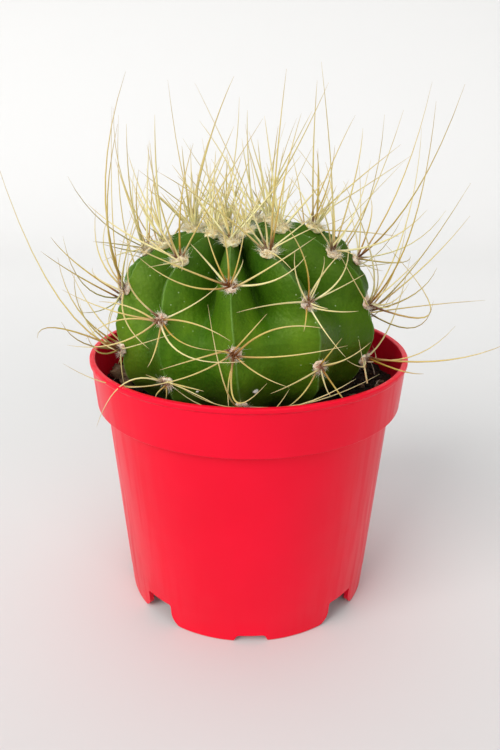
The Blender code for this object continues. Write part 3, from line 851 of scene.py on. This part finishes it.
def clear_of_holder(points):
    """Whether a spine passes the body, the rim and the peat with room to spare."""
    fine = [a + (b - a) * np.linspace(0, 1, 13)[1:, None] for a, b in zip(points, points[1:])]
    fine = np.concatenate(fine)
    free = np.linalg.norm(fine - points[0], axis=1) > NEAR_ROOT
    around = np.hypot(fine[:, 0], fine[:, 1])
    inside = around < COLLAR_TOP_RADIUS - WALL
    outside = around > RIM_RADIUS + RIM_CLEARANCE
    lowest = np.full(len(fine), POT_HEIGHT + RIM_CLEARANCE)
    lowest[around < COLLAR_TOP_RADIUS - WALL - RIM_CLEARANCE] = SOIL_TOP + SOIL_CLEARANCE
    lowest[outside & ~inside] = POT_HEIGHT - BELOW_RIM
    return (body_clearance(fine[free]) > BODY_CLEARANCE).all() and (fine[:, 2] > lowest).all()


def drawn_spine(draw, pattern, plant, attempt):
    """One spine of a pattern's kind: its root, start direction, length and bend."""
    clock, lean, length, lift = pattern
    name, place, outward, uphill, sideways, age = plant
    turn = math.radians(clock + (CLOCK_SPREAD + SPREAD_PER_TRY * attempt) * draw.normal())
    lean *= YOUNG_LEAN + (1 - YOUNG_LEAN) * age
    lean = math.radians(max(LEAST_LEAN, lean + LEAN_SPREAD * draw.normal()))
    length *= YOUNG_LENGTH + (1 - YOUNG_LENGTH) * age
    length *= (1 + LENGTH_SPREAD * draw.normal()) * (1 - SHRINK_PER_TRY * attempt)
    length = min(max(length, SHORTEST_SPINE), LONGEST_SPINE)
    aside = math.cos(turn) * uphill + math.sin(turn) * sideways
    start = math.cos(lean) * outward + math.sin(lean) * aside
    lift += LIFT_SPREAD * draw.normal()
    bend = age * (lift * UP - CURL * outward + BEND_SPREAD * draw.normal(size=3))
    root = place + outward * ROOT_HEIGHT
    way = start + bend
    length = min(length, *((np.sign(way) * REACH - root) / way))
    return root, start, length, bend


def grow_spines(plants):
    """The spines of every areole, none of which meets another areole, the body, the pot or the peat."""
    pads = np.array([place + outward * ROOT_HEIGHT for name, place, outward, *rest in plants])
    starts, ends, owners = np.empty((0, 3)), np.empty((0, 3)), np.empty(0, int)
    grown = [[] for plant in plants]
    for kind, pattern in enumerate(GROWN_SPINES):
        for number, plant in enumerate(plants):
            draw = np.random.default_rng((SEED, kind, number))
            far_pads = np.delete(pads, number, axis=0)
            for attempt in range(TRIES):
                spine = drawn_spine(draw, pattern, plant, attempt)
                points = spine_points(*spine)
                far = owners != number
                gap = least_gap(points[:-1], points[1:], starts[far], ends[far])
                pad_gap = least_gap(points[:-1], points[1:], far_pads, far_pads + MERGE)
                if gap < 2 * SPINE_RADIUS + SPINE_CLEARANCE or pad_gap < PAD_CLEARANCE:
                    continue
                if clear_of_holder(points):
                    grown[number].append((kind, *spine))
                    starts = np.vstack((starts, points[:-1]))
                    ends = np.vstack((ends, points[1:]))
                    owners = np.append(owners, np.full(len(points) - 1, number))
                    break
    return grown


NEEDLE_SIDES = 6
NEEDLE_STEPS = 9
FRONT_NEEDLE_STEPS = 14
HAIR_SIDES = 3
HAIR_STEPS = 3
NEEDLE_TAPER = 0.62
NEEDLE_TIP = 0.08
ROOT_SWELL = 0.35
ROOT_SWELL_FADE = 30


def unit_needle(name, sides, steps):
    """A needle one unit long and wide, as a mesh to bend: a cone cut across into steps."""
    bm = bmesh.new()
    cone = {"segments": sides, "radius1": 1, "radius2": 0.02, "depth": 1}
    bmesh.ops.create_cone(bm, cap_ends=True, matrix=Matrix.Translation((0, 0, 0.5)), **cone)
    for step in range(1, steps):
        everything = list(bm.verts) + list(bm.edges) + list(bm.faces)
        bmesh.ops.bisect_plane(bm, geom=everything, plane_co=(0, 0, step / steps), plane_no=(0, 0, 1))
    for vert in bm.verts:
        vert.co.xy = vert.co.xy.normalized()
    mesh = bpy.data.meshes.new(name)
    bm.to_mesh(mesh)
    bm.free()
    return mesh


needle = unit_needle("unit_needle", NEEDLE_SIDES, NEEDLE_STEPS)
front_needle = unit_needle("unit_front_needle", NEEDLE_SIDES, FRONT_NEEDLE_STEPS)
hair = unit_needle("unit_hair", HAIR_SIDES, HAIR_STEPS)


def add_bent(bm, template, centre, radius, layers):
    """Copies a unit needle into a bmesh, along centre(share) and with the girth radius(share)."""
    at = len(bm.verts)
    bm.from_mesh(template)
    bm.verts.ensure_lookup_table()
    aside = None
    for vert in bm.verts[at:]:
        share = vert.co.z
        place = centre(share)
        along = (centre(min(1, share + 0.02)) - centre(max(0, share - 0.02))).normalized()
        if aside is None:
            aside = along.orthogonal().normalized()
        across = (aside - along * aside.dot(along)).normalized()
        over = along.cross(across)
        vert.co = place + radius(share) * (vert.co.x * across + vert.co.y * over)
        for layer, value in layers:
            vert[layer] = share if value is None else value


def add_spine(bm, template, layers, centre, width, brown, pale):
    """One tapering spine, whose base swells a little in the wool."""
    along, browning, paleness = layers

    def radius(share):
        taper = (1 - share) ** NEEDLE_TAPER if share < 0.999 else 0.02
        swell = 1 + ROOT_SWELL * math.exp(-share * ROOT_SWELL_FADE)
        return width * (NEEDLE_TIP + (1 - NEEDLE_TIP) * taper) * swell

    add_bent(bm, template, centre, radius, ((along, None), (browning, brown), (paleness, pale)))


golden, tree, shader, where = new_finish("golden spine")
along = attribute(tree, "along")
browning = attribute(tree, "brown")
paleness = attribute(tree, "pale")
grainy = textured(tree, "Noise", where, Scale=700, Detail=2)
gold = ramped(
    tree, along, (0.0, (0.40, 0.190, 0.018)), (0.12, (0.52, 0.330, 0.035)), (0.45, (0.60, 0.440, 0.09)),
    (0.80, (0.64, 0.50, 0.20)), (1.0, (0.42, 0.29, 0.12))
)
cream = ramped(
    tree, along, (0.0, (0.92, 0.90, 0.62)), (0.22, (0.86, 0.80, 0.40)), (0.60, (0.74, 0.64, 0.30)),
    (1.0, (0.64, 0.52, 0.28))
)
tone = mixed(tree, paleness, gold, cream)
rust = ramped(tree, along, (0.0, 1.0), (0.10, 0.75), (0.38, 0.0))
rust = mixed(tree, 1.0, rust, browning, "MULTIPLY")
tone = mixed(tree, rust, tone, (0.34, 0.125, 0.010))
heart = ramped(tree, along, (0.05, 0.9), (0.13, 0.0))
old_enough = ramped(tree, browning, (0.0, 0.0), (0.12, 1.0))
heart = mixed(tree, 1.0, heart, old_enough, "MULTIPLY")
tone = mixed(tree, heart, tone, (0.14, 0.036, 0.008))
tone = mixed(tree, 0.2, tone, grainy.outputs["Fac"], "OVERLAY")
tree.links.new(tone, shader.inputs["Base Color"])
set_inputs(shader, Roughness=0.34, Subsurface_Weight=0.25, Subsurface_Radius=(0.0006, 0.0005, 0.0002))

wool, tree, shader, where = new_finish("areole wool")
tufts = textured(tree, "Noise", where, Scale=1100, Detail=3, Roughness=0.6)
youth = attribute(tree, "young")
tips = attribute(tree, "tip")
old_wool = ramped(
    tree, tufts.outputs["Fac"], (0.34, (0.40, 0.16, 0.08)), (0.46, (0.82, 0.60, 0.44)),
    (0.60, (0.95, 0.82, 0.68))
)
young_wool = ramped(
    tree, tufts.outputs["Fac"], (0.30, (0.80, 0.60, 0.24)), (0.48, (0.94, 0.80, 0.46)),
    (0.64, (0.97, 0.90, 0.66))
)
fleece = mixed(tree, youth, old_wool, young_wool)
fleece = mixed(tree, attribute(tree, "heart"), fleece, (0.15, 0.042, 0.014))
tree.links.new(mixed(tree, tips, fleece, (0.96, 0.90, 0.74)), shader.inputs["Base Color"])
set_inputs(
    shader, Roughness=0.9, Specular_IOR_Level=0.2, Subsurface_Weight=0.3,
    Subsurface_Radius=(0.001, 0.0008, 0.0006)
)
bumped(tree, shader, (tufts.outputs["Fac"], 0.00025))

WOOL_SEED = 31
GROWN_WOOL = (0.00190, 0.0011, 120)
YOUNG_WOOL = (0.00270, 0.0015, 280)
WOOL_YOUTH = 2.2
WOOL_WIDTH = 0.00005
WOOL_LUMPS = 2.2
SPINE_WIDTH = 0.00024
YOUNG_GIRTH = 1.25
GIRTH_SPREAD = (0.85, 1.15)
INNER_KINDS = (0, 3, 6)
SHORT_KIND = 7
ROOT_SPREAD = 0.00042
ROOT_SUNK = 0.0004
INFILL_SPINES = 4
INFILL_LENGTH = (0.005, 0.013)
INFILL_LEAN = 16
INFILL_BEND = 0.05
# Spines of the front areoles, each bent in its own way: turn from uphill and lean in degrees, length, how far
# its end swings sideways, uphill and outward, and how pale it is.
FRONT_SPINES = {
    "areole_04_2": (
        (-32, 50, 0.014, 0.1, 0.3, -0.2, 0.1), (22, 30, 0.016, -0.2, 0.2, -0.2, 0.0),
        (50, 35, 0.015, -0.1, 0.4, -0.2, 0.1), (-40, 60, 0.015, 0.1, -0.2, 0.0, 1.0),
        (46, 60, 0.011, -0.3, -0.3, 0.0, 1.0), (82, 62, 0.016, 0.3, 0.3, 0.0, 0.5),
        (110, 72, 0.024, -0.2, 0.4, 0.0, 0.8), (-76, 62, 0.028, 0.1, 0.0, 0.0, 0.3),
        (-110, 72, 0.022, 0.0, 0.6, 0.0, 0.2),
    ),
    "areole_03_3": (
        (-56, 62, 0.035, 1.2, 0.0, 0.1, 0.6), (-56, 70, 0.016, -0.1, -0.3, 0.0, 0.4),
        (-90, 66, 0.024, 0.0, 0.2, 0.0, 0.3), (-80, 66, 0.023, 0.2, -0.4, -0.1, 0.3),
        (-146, 66, 0.024, -0.4, 0.4, -0.1, 0.4), (172, 75, 0.016, -0.1, 0.3, 0.0, 0.2),
        (84, 75, 0.026, 0.0, -0.2, 0.0, 0.3), (140, 66, 0.030, 0.5, 0.5, 0.0, 0.9),
        (136, 78, 0.017, 0.4, 0.4, 0.0, 0.0), (74, 72, 0.031, -0.2, 0.0, 0.0, 0.9),
    ),
    "areole_04_3": (
        (42, 60, 0.013, 0.1, 0.1, 0.0, 0.2), (40, 62, 0.030, 0.1, -0.4, 0.0, 0.2),
        (94, 66, 0.022, 0.2, 0.2, 0.0, 0.2), (138, 74, 0.014, 0.2, 0.2, 0.0, 0.3),
        (-168, 60, 0.036, 0.4, 0.8, 0.0, 0.3), (-150, 72, 0.013, 0.3, -0.1, 0.0, 0.2),
        (-66, 70, 0.005, 0.1, -0.1, 0.0, 0.1), (-98, 76, 0.018, 0.1, 0.0, 0.0, 0.3),
        (-118, 66, 0.026, -0.1, 0.3, 0.0, 0.4),
    ),
    "areole_05_3": (
        (0, 48, 0.023, -0.4, 0.0, -0.1, 0.0), (-36, 66, 0.018, 0.3, -0.1, 0.0, 0.8),
        (36, 60, 0.017, -0.4, -0.2, 0.0, 0.8), (32, 58, 0.016, 0.0, -0.2, 0.0, 0.8),
        (78, 60, 0.024, -0.6, 0.3, 0.0, 0.9), (82, 66, 0.013, 0.1, 0.1, 0.0, 0.9),
        (122, 74, 0.013, 0.0, 0.2, 0.0, 0.8), (132, 74, 0.006, -0.1, 0.2, 0.0, 0.9),
        (174, 74, 0.016, 0.1, 0.1, 0.0, 1.0), (-152, 74, 0.009, 0.0, 0.2, 0.0, 0.0),
        (-82, 74, 0.022, 0.0, -0.1, 0.0, 0.8),
    ),
    "areole_05_4": (
        (2, 55, 0.010, 0.1, 0.1, 0.0, 0.1), (82, 62, 0.012, -0.1, 0.4, 0.0, 0.5),
        (90, 66, 0.010, -0.2, 0.3, 0.0, 0.5), (-94, 74, 0.018, 0.0, 0.1, 0.0, 0.6),
        (-136, 70, 0.015, -0.2, 0.4, 0.0, 0.3), (156, 62, 0.016, 0.0, 0.1, 0.0, 0.1),
        (176, 72, 0.012, 0.0, 0.4, 0.0, 0.9),
    ),
    "areole_03_4": (
        (-32, 62, 0.026, -0.1, -1.0, 0.0, 0.8), (-102, 70, 0.029, 0.2, 0.5, 0.0, 0.3),
        (-120, 66, 0.010, 0.7, 0.3, 0.0, 0.2), (176, 74, 0.006, -0.1, 0.3, 0.0, 0.2),
        (84, 74, 0.018, 0.1, -0.1, 0.0, 0.8), (78, 74, 0.020, -0.1, 0.0, 0.0, 0.4),
        (-44, 66, 0.007, 0.3, -0.1, 0.0, 0.4),
    ),
    "areole_06_3": ((143, 46, 0.068, -0.25, 0.77, -0.65, 0.2),),
}


def shaped(plant, turn, lean, length, aside, up, out, pale):
    """One spine of a front areole, in the same terms as a grown one."""
    name, place, outward, uphill, sideways, age = plant
    turn, lean = math.radians(turn), math.radians(lean)
    start = math.cos(lean) * outward + math.sin(lean) * (math.cos(turn) * uphill + math.sin(turn) * sideways)
    return place + outward * ROOT_HEIGHT, start, length, aside * sideways + up * uphill + out * outward


def make_spines(plant, spines, draw):
    """The spines of one areole, as one piece."""
    name, place, outward, uphill, sideways, age = plant
    bm = bmesh.new()
    layers = tuple(bm.verts.layers.float.new(key) for key in ("along", "brown", "pale"))
    drawn = []
    for kind, *spine in spines:
        inner = kind in INNER_KINDS
        brown = draw.uniform(0.6, 1.0) * age**2 if inner else draw.uniform(0.0, 0.4) * age
        pale = min(1, max(0, draw.normal(0.20 if inner else 0.60, 0.28) + 0.8 * (1 - age)))
        drawn.append((*spine, brown, pale, 0.8 if kind == SHORT_KIND else 1))
    own = []
    for numbers in FRONT_SPINES.get(name, ()):
        pale = numbers[-1]
        own.append((*shaped(plant, *numbers), max(0.15, 1 - pale), pale, 1))
    drawn = own if len(own) > 1 else drawn + own
    for number in range(round(INFILL_SPINES * (1 - age))):
        turn, lean = draw.uniform(-180, 180), abs(draw.normal(0, INFILL_LEAN))
        bend = draw.normal(0, INFILL_BEND, size=3)
        spine = shaped(plant, turn, lean, draw.uniform(*INFILL_LENGTH), *bend, 1)
        drawn.append((*spine, 0, draw.uniform(0.6, 1.0), 1.1))
    for root, start, length, bend, brown, pale, girth in drawn:
        root, start, bend, length = Vector(root), Vector(start), Vector(bend), float(length)
        spread = Vector(draw.normal(0, ROOT_SPREAD, size=3))
        root = root + spread - Vector(outward) * (spread.dot(Vector(outward)) + ROOT_SUNK)

        def centre(share):
            return root + length * (share * start + share**2 * bend)

        full = YOUNG_GIRTH - (YOUNG_GIRTH - 1) * age
        width = float(SPINE_WIDTH * draw.uniform(*GIRTH_SPREAD) * full * girth)
        add_spine(bm, front_needle if own else needle, layers, centre, width, brown, pale)
    for vert in bm.verts:
        vert.co = [min(max(c, low), high) for c, low, high in zip(vert.co, cad_low, cad_high)]
    piece = placed(name.replace("areole", "spines"), bm, golden, sharp=180)
    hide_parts(name)
    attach(piece, "root")


def make_wool(plant, draw):
    """The cushion of wool of one areole: a low dome covered with short curled hairs."""
    name, place, outward, uphill, sideways, age = plant
    youth = min(1, WOOL_YOUTH * (1 - age))
    radius, height, count = (grown + (young - grown) * youth for young, grown in zip(YOUNG_WOOL, GROWN_WOOL))
    axes = Matrix([sideways, uphill, outward]).transposed()
    middle = Vector(place)
    bm = bmesh.new()
    young_layer = bm.verts.layers.float.new("young")
    tip_layer = bm.verts.layers.float.new("tip")
    heart_layer = bm.verts.layers.float.new("heart")
    bmesh.ops.create_icosphere(bm, subdivisions=3, radius=1)
    for vert in bm.verts:
        swell = 1 + 0.35 * noise.noise(vert.co * WOOL_LUMPS + middle * 900)
        vert[heart_layer] = (1 - youth) * math.exp(-(vert.co.xy.length_squared / 0.25)) * max(0, vert.co.z)
        shape = Vector((radius * 0.8, radius * 0.8, height * 0.75)) * swell
        vert.co = middle + axes @ (vert.co * shape)
        vert[young_layer] = youth
    for number in range(int(count)):
        around = draw.uniform(0, 2 * math.pi)
        reach = radius * 0.85 * math.sqrt(draw.uniform(0.30 - 0.25 * youth, 1))
        out = math.sqrt(max(0, 1 - (reach / radius) ** 2))
        flat = Vector((math.cos(around), math.sin(around), 0))
        foot = flat * reach + Vector((0, 0, height * 0.6 * out))
        aim = flat * (0.35 + reach / radius) + Vector((0, 0, 0.9)) + Vector(draw.normal(0, 0.35, size=3))
        curl = Vector(draw.normal(0, 0.55, size=3))
        long = float(height * draw.uniform(0.55, 1.15))
        foot, aim, curl = middle + axes @ foot, axes @ aim.normalized(), axes @ curl

        def centre(share):
            return foot + long * (share * aim + share**2 * curl)

        def radius_at(share):
            return WOOL_WIDTH * (1.1 - share)

        add_bent(bm, hair, centre, radius_at, ((young_layer, youth), (tip_layer, None)))
    piece = placed(name.replace("areole", "wool"), bm, wool, sharp=180)
    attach(piece, "root")


plants = areoles()
draw = np.random.default_rng(WOOL_SEED)
for plant, spines in zip(plants, grow_spines(plants)):
    make_spines(plant, spines, draw)
    make_wool(plant, draw)

# Litter: old spines that have dropped off the plant, dry, grey and a little bowed. They lie loose on the peat
# between the stem and the wall, more of them to the right of the front than elsewhere.
DEAD_SPINES = 26
DEAD_LENGTH = (0.005, 0.014)
DEAD_WIDTH = 0.00018
DEAD_RING = (0.0345, 0.0375)
DEAD_HEIGHT = (0.0012, 0.0030)
DEAD_SAG = 0.12
RIGHT_OF_FRONT = (math.radians(35), math.radians(85))

dead, tree, shader, where = new_finish("dead spine")
weather = textured(tree, "Noise", where, Scale=500, Detail=2)
straw_grey = ramped(tree, weather.outputs["Fac"], (0.35, (0.30, 0.22, 0.15)), (0.65, (0.62, 0.52, 0.40)))
tree.links.new(straw_grey, shader.inputs["Base Color"])
set_inputs(shader, Roughness=0.7)
bm = bmesh.new()
for number in range(DEAD_SPINES):
    turn, way = draw.uniform(-math.pi, math.pi), draw.uniform(-math.pi, math.pi)
    if number % 2:
        turn = draw.uniform(*RIGHT_OF_FRONT)
    reach, length = float(draw.uniform(*DEAD_RING)), float(draw.uniform(*DEAD_LENGTH))
    middle = Vector((reach * math.sin(turn), -reach * math.cos(turn), SOIL_TOP + draw.uniform(*DEAD_HEIGHT)))
    along_peat = Vector((math.cos(turn), math.sin(turn), 0))
    along_peat += 0.35 * Vector((math.cos(way), math.sin(way), 0))
    along_peat.z = draw.uniform(-0.15, 0.15)

    def centre(share):
        sag = Vector((0, 0, -DEAD_SAG * (2 * share - 1) ** 2))
        return middle + length * ((share - 0.5) * along_peat + sag)

    def radius_at(share):
        return DEAD_WIDTH * (1.05 - share)

    add_bent(bm, needle, centre, radius_at, ())
litter = placed("dead_spines", bm, dead, sharp=180)
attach(litter, "root")

# Perlite: two grains of the white puffed mineral that keeps the potting mix open. Watering has left them
# stuck to the foot of the stem. Each has its angle from the crown, its azimuth and its size.
PERLITE_GRAINS = ((103, 3, 0.0009), (104, -24, 0.0005))
PERLITE_FLATNESS = 0.7

perlite, tree, shader, where = new_finish("perlite")
pits = textured(tree, "Noise", where, Scale=1800, Detail=2)
chalk = ramped(tree, pits.outputs["Fac"], (0.35, (0.62, 0.62, 0.56)), (0.60, (0.90, 0.90, 0.84)))
tree.links.new(chalk, shader.inputs["Base Color"])
set_inputs(shader, Roughness=0.8)
bm = bmesh.new()
for angle, azimuth, size in PERLITE_GRAINS:
    angle, azimuth = math.radians(angle), math.radians(azimuth)
    skin_spot = Vector(body_point(angle, azimuth, float(surface_distance(angle, azimuth))))
    grain = bmesh.ops.create_icosphere(bm, subdivisions=2, radius=size)["verts"]
    for vert in grain:
        swell = 1 + 0.6 * noise.noise(vert.co * 1400 + skin_spot * 300)
        flat = Vector((vert.co.x, vert.co.y * PERLITE_FLATNESS, vert.co.z * PERLITE_FLATNESS))
        vert.co = skin_spot + flat * swell
grains = placed("perlite_grains", bm, perlite, sharp=50)
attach(grains, "root")

# The unit needles and the unit hair were only there to be copied.
for unit in (needle, front_needle, hair):
    bpy.data.meshes.remove(unit)
